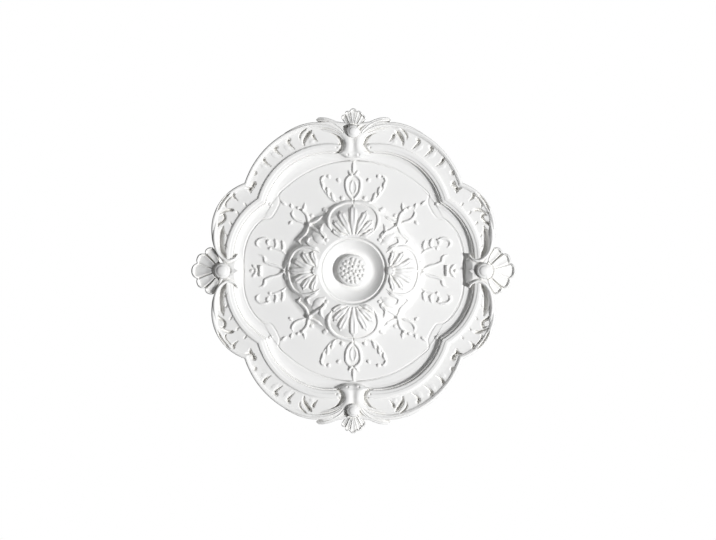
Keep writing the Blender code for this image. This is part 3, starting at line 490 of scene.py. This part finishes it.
# %% Plates and strands beside the shells
def blade(rel, points, widths, tops):
    """Solid blade, standing as high as it says, wherever it is the higher.

    widths are half widths and tops pairs of top and foot, both by share of the length. The section
    is half an ellipse between foot and top.
    """
    widths = np.asarray(widths, float)
    tops = np.asarray(tops, float)
    pick, d, along = rel.near(smooth_path(points), widths[:, 1].max())
    half = np.maximum(np.interp(along, widths[:, 0], widths[:, 1]), 0.1)
    top = np.interp(along, tops[:, 0], tops[:, 1])
    foot = np.interp(along, tops[:, 0], tops[:, 2])
    q = np.sqrt(np.clip(1.0 - (d / half) ** 2, 0.0, 1.0))
    rel.z[pick] = np.where(d < half, np.maximum(rel.z[pick], foot + (top - foot) * q), rel.z[pick])


def bracket(rel, across, out, stations, tops, foot, crease=0.0, flank=0.0):
    """Bracket-shaped plate on an axis: half width and top by distance from the middle.

    Its section is flat with rounded edges, a fifth power of the share of the half width. crease
    cuts a channel down its middle and flank slopes that much of each side.
    """
    stations = np.asarray(stations, float)
    tops = np.asarray(tops, float)
    half = np.interp(out, stations[:, 0], stations[:, 1], left=0.0, right=0.0)
    top = np.interp(out, tops[:, 0], tops[:, 1])
    share = np.where(half > 0.5, np.abs(across) / np.maximum(half, 0.5), 9.0)
    q = np.clip(1.0 - share ** 5, 0.0, 1.0) ** 0.5
    if flank:
        q = np.minimum(q, 1.0 - 0.8 * ease(half - flank, half, np.abs(across)))
    channel = crease * (1.0 - ease(0.0, 0.42, share))
    rel.z = np.where(share < 1.0, np.maximum(rel.z, foot + (top - foot) * q - channel), rel.z)


PLATE = FIELD + 12.2
PLATE_FOOT = FIELD + 1.0


def necks(rel):
    """Bracketed plates between the shells and the field, and the strands that curl up to them."""
    bracket(rel, rel.y, rel.x,
            [(133.2, 13.5), (135.0, 15.0), (138.0, 16.5), (141.0, 14.0), (146.0, 12.2),
             (152.0, 12.6), (160.0, 14.0)],
            [(133.2, FIELD + 4.5), (136.5, PLATE - 4.6), (141.0, PLATE - 1.0), (150.0, PLATE),
             (160.0, PLATE)], PLATE_FOOT)
    strand = [(137.5, 18.5), (140.5, 14.6), (146.5, 12.0), (152.0, 13.2), (158.0, 18.0), (162.0, 25.0),
              (164.2, 35.0), (164.4, 46.0), (162.0, 60.0)]
    blade(rel, strand, [(0, 1.2), (0.08, 1.7), (0.3, 2.4), (0.7, 3.6), (1, 2.0)],
          [(0, FIELD + 9.0, FIELD + 4.0), (0.15, FIELD + 13.4, FIELD + 7.0),
           (0.4, FIELD + 13.6, FIELD + 7.0), (0.8, FIELD + 12.5, FIELD + 6.0),
           (1, FIELD + 10.0, FIELD + 5.0)])
    rel.stroke([(26, 163.5), (20, 161.5), (15.5, 156.5), (13.2, 150.5), (14.2, 144.5), (18.0, 141.0),
                (22.5, 140.0)], 2.4, -4.2, (0.3, 0.25))
    bracket(rel, rel.x, rel.y,
            [(134.2, 10.0), (136.5, 13.0), (139.5, 19.0), (142.0, 15.5), (146.0, 13.2),
             (150.0, 12.4), (154.0, 13.4), (158.0, 16.0), (163.0, 23.0)],
            [(134.2, FIELD + 5.5), (136.5, PLATE - 2.4), (141.0, PLATE + 0.6), (150.0, PLATE + 1.6),
             (163.0, PLATE + 0.6)], PLATE_FOOT, 1.5, 4.2)
    rel.dot(6.5, 137.6, 1.5, -1.6)
    rel.dot(17.0, 150.0, 1.5, -2.2)
    rel.dot(20.0, 146.0, 1.4, -1.8)


def carve(x, y):
    """Heights of the whole face over the back, in millimetres, without the shells."""
    rel = Relief(x, y)
    frame_ground(rel)
    middle_ground(rel)
    seeds(rel)
    palmettes(rel)
    arabesques(rel)
    leaf_frame(rel)
    necks(rel)
    return rel.z.reshape(rel.shape)


level_axis = carve(np.arange(0.0, 160.0), np.zeros(160))
print("highest and lowest on the level axis", level_axis.max().round(1), level_axis.min().round(1))

# %% [markdown]
# Such roses are mostly rigid polyurethane foam, cast in a mould and sprayed with a white primer. To
# the eye that is a matt white with a faint unevenness in tone, the orange peel of sprayed paint, soft
# waves and a few pits left by the mould. Recesses are also painted a little darker by ambient
# occlusion: that is painted shade, not a colour of the primer. All of it is worked out from the
# surface's own position, so it stays put in every view. Three bumps are chained rather than one
# strong one, because the eye reads each size of unevenness by itself.

# %% White primer
def linear(hex_colour):
    """Linear RGBA of an sRGB hex colour, by the sRGB curve."""
    raw = [int(hex_colour[i:i + 2], 16) / 255.0 for i in (1, 3, 5)]
    return [c / 12.92 if c <= 0.04045 else ((c + 0.055) / 1.055) ** 2.4 for c in raw] + [1.0]


def add_node(tree, kind, inputs=None, **settings):
    """Adds a shader node with its settings. Each input is set to a value or linked to an output."""
    node = tree.nodes.new(kind)
    for name, value in settings.items():
        setattr(node, name, value)
    for socket, value in (inputs or {}).items():
        if isinstance(value, bpy.types.NodeSocket):
            tree.links.new(value, node.inputs[socket])
        else:
            node.inputs[socket].default_value = value
    return node


CLOUD_SIZE = 60.0 * MM
PEEL_SIZE = 0.9 * MM
RIPPLE_SIZE = 9.0 * MM
# Pits of a mould are a few tenths of a millimetre wide. They are drawn almost a millimetre wide, one
# in each cell of 5 mm, because finer ones would not show from three metres away.
PIT_SPACING = 5.0 * MM
# Reach of the ambient occlusion that paints shade into the recesses.
SHADE_REACH = 6.0 * MM


def primer():
    """Matt white primer on moulded foam."""
    material = bpy.data.materials.new("matt_white_primer")
    material.use_nodes = True
    tree = material.node_tree
    shader = tree.nodes["Principled BSDF"]
    place = add_node(tree, "ShaderNodeTexCoord").outputs["Object"]
    cloud = add_node(tree, "ShaderNodeTexNoise",
                     {"Vector": place, "Scale": 1.0 / CLOUD_SIZE, "Detail": 3.0})
    peel = add_node(tree, "ShaderNodeTexNoise",
                    {"Vector": place, "Scale": 1.0 / PEEL_SIZE, "Detail": 2.0})
    ripple = add_node(tree, "ShaderNodeTexNoise",
                      {"Vector": place, "Scale": 1.0 / RIPPLE_SIZE, "Detail": 2.0, "Roughness": 0.4})
    pits = add_node(tree, "ShaderNodeTexVoronoi",
                    {"Vector": place, "Scale": 1.0 / PIT_SPACING, "Randomness": 1.0})
    tone = add_node(tree, "ShaderNodeMix",
                    {"Factor": cloud.outputs["Fac"], "A": linear("#F0F0F0"), "B": linear("#F4F4F3")},
                    data_type="RGBA")
    # Painted shade: the colour darkens towards #E8E7E4 in recesses, where ambient occlusion finds them.
    hollow = add_node(tree, "ShaderNodeAmbientOcclusion", {"Distance": SHADE_REACH}, samples=6)
    unshaded_share = add_node(tree, "ShaderNodeMapRange",
                     {"Value": hollow.outputs["AO"], "From Min": 0.35, "From Max": 0.95})
    painted_recess_shade = add_node(tree, "ShaderNodeMix",
                     {"Factor": unshaded_share.outputs["Result"], "A": linear("#E8E7E4"),
                      "B": tone.outputs["Result"]}, data_type="RGBA")
    tree.links.new(painted_recess_shade.outputs["Result"], shader.inputs["Base Color"])
    dull = add_node(tree, "ShaderNodeMapRange",
                    {"Value": ripple.outputs["Fac"], "To Min": 0.56, "To Max": 0.7})
    tree.links.new(dull.outputs["Result"], shader.inputs["Roughness"])
    pit = add_node(tree, "ShaderNodeMapRange",
                   {"Value": pits.outputs["Distance"], "From Min": 0.02, "From Max": 0.09})
    peel_bump = add_node(tree, "ShaderNodeBump", {"Height": peel.outputs["Fac"], "Strength": 0.12,
                                                  "Distance": 0.08 * MM})
    ripple_bump = add_node(tree, "ShaderNodeBump", {"Height": ripple.outputs["Fac"], "Strength": 0.25,
                                                    "Distance": 0.12 * MM,
                                                    "Normal": peel_bump.outputs["Normal"]})
    pit_bump = add_node(tree, "ShaderNodeBump", {"Height": pit.outputs["Result"], "Strength": 0.3,
                                                 "Distance": 0.1 * MM,
                                                 "Normal": ripple_bump.outputs["Normal"]})
    tree.links.new(pit_bump.outputs["Normal"], shader.inputs["Normal"])
    shader.inputs["Specular IOR Level"].default_value = 0.3
    return material


WHITE = primer()
print("material", WHITE.name, "with", len(WHITE.node_tree.nodes), "nodes")

# %% [markdown]
# A height map could displace one flat square grid, but its steps would cut across the lobes as
# stairs. So the face is made of rings: grids whose rows run round the rose along its mouldings and
# whose columns run outwards. Each point's height comes from `carve`. The whole mesh is handed to
# Blender as arrays, which is far quicker than one vertex at a time.

# %% Mesh helpers
def add_mesh(name, points, faces):
    """Smooth mesh from points in millimetres. Right and up on the drawing are X and Z, height is -Y."""
    mesh = bpy.data.meshes.new(name)
    verts = np.column_stack([points[:, 0], -points[:, 2], points[:, 1]]) * MM
    mesh.vertices.add(len(verts))
    mesh.vertices.foreach_set("co", verts.astype(np.float32).ravel())
    mesh.loops.add(faces.size)
    mesh.loops.foreach_set("vertex_index", faces.astype(np.int32).ravel())
    mesh.polygons.add(len(faces))
    mesh.polygons.foreach_set("loop_start", np.arange(0, faces.size, faces.shape[1], dtype=np.int32))
    mesh.polygons.foreach_set("use_smooth", np.ones(len(faces), bool))
    mesh.update(calc_edges=True)
    mesh.validate()
    mesh.materials.append(WHITE)
    piece = bpy.data.objects.new(name, mesh)
    bpy.context.scene.collection.objects.link(piece)
    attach(piece, "root")
    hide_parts(NODE)
    print(name, len(faces), "faces")


def ring_faces(rows, columns):
    """Quads of a grid that closes on itself along its columns, facing the viewer."""
    i = np.arange(rows - 1)[:, None]
    j = np.arange(columns)[None, :]
    k = (j + 1) % columns
    quads = np.stack([i * columns + j, (i + 1) * columns + j, (i + 1) * columns + k, i * columns + k], -1)
    return quads.reshape(-1, 4)


def folded(angle):
    """Angle brought into the first quarter: its distance from the nearest half turn."""
    return np.abs((angle + 0.5 * math.pi) % math.pi - 0.5 * math.pi)


def ring(name, radii_of, stations, columns, to_back=False):
    """Ring of the face: a row at each station, its radius from radii_of(angle, station).

    With to_back the last row goes straight down to the back.
    """
    angle = np.linspace(0.0, 2.0 * math.pi, columns, endpoint=False)
    radius = np.array([radii_of(folded(angle), station) for station in stations])
    x = radius * np.cos(angle)
    y = radius * np.sin(angle)
    points = np.column_stack([x.ravel(), y.ravel(), carve(x, y).ravel()])
    if to_back:
        points = np.vstack([points, points[-columns:] * (1.0, 1.0, 0.0)])
    add_mesh(name, points, ring_faces(len(points) // columns, columns))


# %% [markdown]
# Five rings make the face. They lap a little, each under or just beside its neighbour, so no gap shows
# where their columns differ. The cove and the leaf band have their rows closest where the section is
# sharpest, at the bead and at the step up to the rim. The back is a flat disc with the same outline.

# %% Dish, medallion, field, cove, leaf band and back
FIELD_START = 79.5
LINE_MARGIN = 0.6


def plain_radius(angle, station):
    """A round row."""
    return np.full(angle.size, station)


def field_radius(angle, station):
    """Rows between the medallion (0) and the field line (1), the line a little short of its edge."""
    outer = disc_edge(angle, LINES[0])
    return FIELD_START + (outer - LINE_MARGIN - FIELD_START) * station


def frame_radius(angle, station):
    """Distance from the middle at a station of the frame: 0 the field line, 5 the outer edge."""
    base = min(max(math.floor(station), 0), len(LINES) - 2)
    inner = disc_edge(angle, LINES[base])
    outer = disc_edge(angle, LINES[base + 1])
    return inner + (outer - inner) * (station - base)


ring("dish", plain_radius, np.concatenate([[0.02], np.arange(0.6, 38.5, 0.45)]), 600)
ring("medallion", plain_radius, np.arange(38.2, 80.2, 0.5), 900)
ring("field", field_radius, np.linspace(0.0, 1.0, 64), 1100)
ring("cove", frame_radius,
     np.concatenate([np.linspace(-0.05, 0.9, 16), np.linspace(0.95, 2.0, 20), np.linspace(2.04, 2.98, 26)]),
     1340)
ring("leaf_band", frame_radius, np.concatenate([np.linspace(2.96, 4.1, 54), np.linspace(4.2, 5.0, 9)]),
     1500, to_back=True)

BACK_COLUMNS = 720
around = np.linspace(0.0, 2.0 * math.pi, BACK_COLUMNS, endpoint=False)
outline = disc_edge(folded(around), LINES[-1])
back_shares = np.array([0.001, 0.5, 1.0])[:, None]
back_points = np.column_stack([(back_shares * outline * np.cos(around)).ravel(),
                               (back_shares * outline * np.sin(around)).ravel(),
                               np.zeros(back_shares.size * BACK_COLUMNS)])
add_mesh("back", back_points, ring_faces(back_shares.size, BACK_COLUMNS)[:, ::-1])

# %% [markdown]
# The shells reach past the frame, so rings round the rose would tear at their fingers. Each has a
# grid of its own instead, in rows round its knob, that ends exactly at the tips. Its edge drops to
# the back and closes there.

# %% Shells
SHELL_COLUMNS = 240
SHELL_ROWS = 72
PROBE_COUNT = 400
BACK_GAP = 0.05
SHELL_FLOOR = 6.0


def shell(name, spec, sign):
    """Fan-shaped grid round the knob of a shell; sign puts it on the near or the far side.

    The reach of each column is probed first: heights start far too low, and the last point of the
    column that the fan lifts is its tip. The first row lies all but on the middle of the knob, and
    two more rows behind the rim close the back.
    """
    phi = np.radians(np.linspace(-180.0, 180.0, SHELL_COLUMNS + 1)[:-1])
    up = spec["up"]
    rx, ry = spec["root"]
    knob_radius = spec["knob"][0]

    def place(rho):
        u = rho * np.cos(phi)[None, :]
        v = rho * np.sin(phi)[None, :]
        return (rx + v, ry + u) if up else (rx + u, ry + v)

    probe = np.linspace(0.0, 1.03 * spec["tips"][0], PROBE_COUNT)
    rel = Relief(*place(probe[:, None]))
    rel.z -= 50.0
    fan(rel, **spec)
    covered = rel.z.reshape(rel.shape) > -20.0
    reach = probe[PROBE_COUNT - 1 - np.argmax(covered[::-1], axis=0)]
    behind = np.abs(np.degrees(phi)) >= 1.09 * spec["bounds"][2]
    reach = np.where(behind, knob_radius + 0.2, reach)
    rows = np.concatenate([[0.004], np.linspace(0.02, 0.997, SHELL_ROWS)])[:, None]
    x, y = place(rows * reach[None, :])
    rel = Relief(x, y)
    frame_ground(rel)
    fan(rel, **spec)
    z = np.maximum(rel.z.reshape(rel.shape), SHELL_FLOOR)
    z[-1] = np.minimum(z[-1], z[-2] - 0.6)
    back_row = np.full_like(z[-1], BACK_GAP)
    x = np.vstack([x, x[-1], rx + 0.01 * (x[-1] - rx)])
    y = np.vstack([y, y[-1], ry + 0.01 * (y[-1] - ry)])
    z = np.vstack([z, back_row, back_row])
    if up:
        y = y * sign
    else:
        x = x * sign
    faces = ring_faces(len(z), SHELL_COLUMNS)
    if (sign < 0) != up:
        faces = faces[:, ::-1]
    add_mesh(name, np.column_stack([x.ravel(), y.ravel(), z.ravel()]), faces)


shell("shell_right", SIDE_SHELL, 1)
shell("shell_left", SIDE_SHELL, -1)
shell("shell_top", TOP_SHELL, 1)
shell("shell_bottom", TOP_SHELL, -1)

# %% [markdown]
# Three acanthus leaves spring from each side of the upper and lower shells. A leaf is a section
# carried along a curved stem: a dome with shallow ribs, as wide and high as two short tables say.
# Sweeping fits them better than a height map, because their free tips overhang the rim.

# %% Acanthus leaves
QUARTERS = ((1, 1), (-1, 1), (1, -1), (-1, -1))
LEAF_STEPS = 100
LEAF_ROWS = 23
LEAF_RIBS = 2
LEAF_DOME = 2.4
RIB_DEPTH = 0.45
LEAF_BACK_GAP = 0.03
LEAVES = (
    ("leaf_outer",
     [(8.0, 157.0), (14.5, 164.5), (24.0, 170.0), (37.0, 172.8), (51.0, 172.6), (66.0, 168.6),
      (77.0, 163.4), (85.0, 159.0)],
     [(0, 2.6), (0.3, 2.9), (0.7, 2.8), (0.93, 2.2), (1, 0.8)],
     [(0, LEAF_TOP + 0.8), (0.3, LEAF_TOP + 0.6), (0.7, LEAF_TOP), (0.9, LEAF_TOP - 1.2),
      (1, LEAF_TOP - 4.0)]),
    ("leaf_upper",
     [(7.0, 157.5), (12.0, 166.0), (20.0, 173.0), (30.0, 177.6), (38.5, 179.2), (43.8, 178.8)],
     [(0, 2.8), (0.4, 3.4), (0.75, 3.0), (0.94, 2.4), (1, 0.8)],
     [(0, LEAF_TOP + 1.4), (0.4, LEAF_TOP + 0.6), (0.8, LEAF_TOP - 1.0), (1, LEAF_TOP - 4.0)]),
    ("leaf_inner",
     [(9.5, 155.5), (16.0, 161.5), (25.0, 165.5), (35.0, 167.4), (44.0, 167.8)],
     [(0, 2.2), (0.4, 2.5), (0.8, 2.1), (1, 0.6)],
     [(0, LEAF_TOP + 0.2), (0.4, LEAF_TOP - 0.6), (0.8, LEAF_TOP - 2.2), (1, LEAF_TOP - 4.2)]),
)


def swept_leaf(name, path, halves, tops, quarter):
    """Leaf swept along a path: its place is the path plus a share v of the half width across it,
    its height the top less a half-circle dome, plus a cosine for the ribs. Edges and ends drop to
    the back, and the last column joins the first there.
    """
    p = smooth_path(path, 16)
    length = np.concatenate([[0.0], np.cumsum(np.hypot(*np.diff(p, axis=0).T))])
    u = np.linspace(0.0, 1.0, LEAF_STEPS)
    px = np.interp(u * length[-1], length, p[:, 0])
    py = np.interp(u * length[-1], length, p[:, 1])
    tx = np.gradient(px)
    ty = np.gradient(py)
    norm = np.hypot(tx, ty)
    v = np.concatenate([[-1.0], np.linspace(-1.0, 1.0, LEAF_ROWS), [1.0]])[None, :]
    half = np.interp(u, *np.array(halves, float).T)[:, None]
    top = np.interp(u, *np.array(tops, float).T)[:, None]
    x = px[:, None] + (-ty / norm)[:, None] * v * half
    y = py[:, None] + (tx / norm)[:, None] * v * half
    dome = np.sqrt(np.clip(1.0 - v ** 2, 0.0, 1.0))
    ribs = RIB_DEPTH * np.cos(v * math.pi * (LEAF_RIBS + 0.5)) * dome
    z = top - LEAF_DOME * (1.0 - dome) + ribs
    z[:, 0] = LEAF_BACK_GAP
    z[:, -1] = LEAF_BACK_GAP
    end = np.full_like(z[:1], LEAF_BACK_GAP)
    x = np.vstack([x[:1], x, x[-1:]])
    y = np.vstack([y[:1], y, y[-1:]])
    z = np.vstack([end, z, end])
    points = np.column_stack([x.ravel() * quarter[0], y.ravel() * quarter[1], z.ravel()])
    faces = ring_faces(z.shape[0], z.shape[1])
    if quarter[0] * quarter[1] < 0:
        faces = faces[:, ::-1]
    add_mesh(name, points, faces)


for k, quarter in enumerate(QUARTERS):
    for name, path, halves, tops in LEAVES:
        swept_leaf("%s_%d" % (name, k), path, halves, tops, quarter)

# %% [markdown]
# Relief shows by its shadows, so one strong light comes from the right, a little below level, and a
# weak one from above keeps the shadows open. A third light stands behind for views of the back. The
# rose is pale on a pale ground. World and floor therefore show the camera a plain pale tone, while
# the light that they give the rose stays low. The camera is far off with a long lens, for an almost
# flat view, and stands two degrees to the right of straight on.

# %% Light
CENTRE = Vector((0.0, 0.0, 0.0))
WHITE_LIGHT = (1.0, 1.0, 1.0, 1.0)


def aim(thing, target):
    """Turns a light or camera so that it looks at a point."""
    direction = target - thing.location
    thing.rotation_euler = direction.to_track_quat("-Z", "Y").to_euler()


def area_light(name, watts, size, location):
    """Square light that looks at the middle of the rose."""
    data = bpy.data.lights.new(name, "AREA")
    data.energy = watts
    data.size = size
    light = bpy.data.objects.new(name, data)
    light.location = location
    aim(light, CENTRE)
    bpy.context.scene.collection.objects.link(light)
    print("light", name, watts, "W")


area_light("key", 110.0, 0.4, (2.2, -2.3, -0.62))
area_light("fill", 1.4, 0.4, (0.0, -0.7, 0.75))
area_light("behind", 60.0, 1.0, (0.0, 3.0, 0.5))


# %% World and floor
def shown_plain(tree, kind, brightness, shader_output, surface):
    """Shows the camera a plain pale surface of a brightness, while other rays meet the shader."""
    pale = add_node(tree, kind, {"Color": WHITE_LIGHT, "Strength": brightness})
    ray = add_node(tree, "ShaderNodeLightPath")
    mixer = add_node(tree, "ShaderNodeMixShader",
                     {"Fac": ray.outputs["Is Camera Ray"], 1: shader_output, 2: pale.outputs[0]})
    tree.links.new(mixer.outputs["Shader"], surface)


world = bpy.data.worlds.new("studio")
bpy.context.scene.world = world
world.use_nodes = True
soft = world.node_tree.nodes["Background"]
soft.inputs["Color"].default_value = WHITE_LIGHT
soft.inputs["Strength"].default_value = 0.035
shown_plain(world.node_tree, "ShaderNodeBackground", 1.0, soft.outputs["Background"],
            world.node_tree.nodes["World Output"].inputs["Surface"])

bpy.ops.mesh.primitive_plane_add(size=3.0, location=(0.0, 0.6, -0.62))
floor = bpy.context.object
floor.name = "floor"
floor_material = bpy.data.materials.new("pale_floor")
floor_material.use_nodes = True
floor_tree = floor_material.node_tree
floor_shader = floor_tree.nodes["Principled BSDF"]
floor_shader.inputs["Base Color"].default_value = (0.9, 0.9, 0.9, 1.0)
shown_plain(floor_tree, "ShaderNodeEmission", 0.82, floor_shader.outputs["BSDF"],
            floor_tree.nodes["Material Output"].inputs["Surface"])
floor.data.materials.append(floor_material)
print("floor at", round(floor.location.z, 2), "m")

# %% Camera
FOCUS = Vector((0.0, -0.015, 0.0))
AWAY = 3.18
TURN = math.radians(2.0)

camera_data = bpy.data.cameras.new("camera")
camera_data.lens = 135.0
camera_data.sensor_width = 36.0
camera_data.shift_x = 0.0065
camera_data.shift_y = 0.0012
camera = bpy.data.objects.new("camera", camera_data)
bpy.context.scene.collection.objects.link(camera)
camera.location = FOCUS + Vector((AWAY * math.sin(TURN), -AWAY * math.cos(TURN), 0.0))
aim(camera, FOCUS)
bpy.context.scene.camera = camera
bpy.context.scene.view_settings.view_transform = "Standard"
print("camera", [round(v, 3) for v in camera.location])
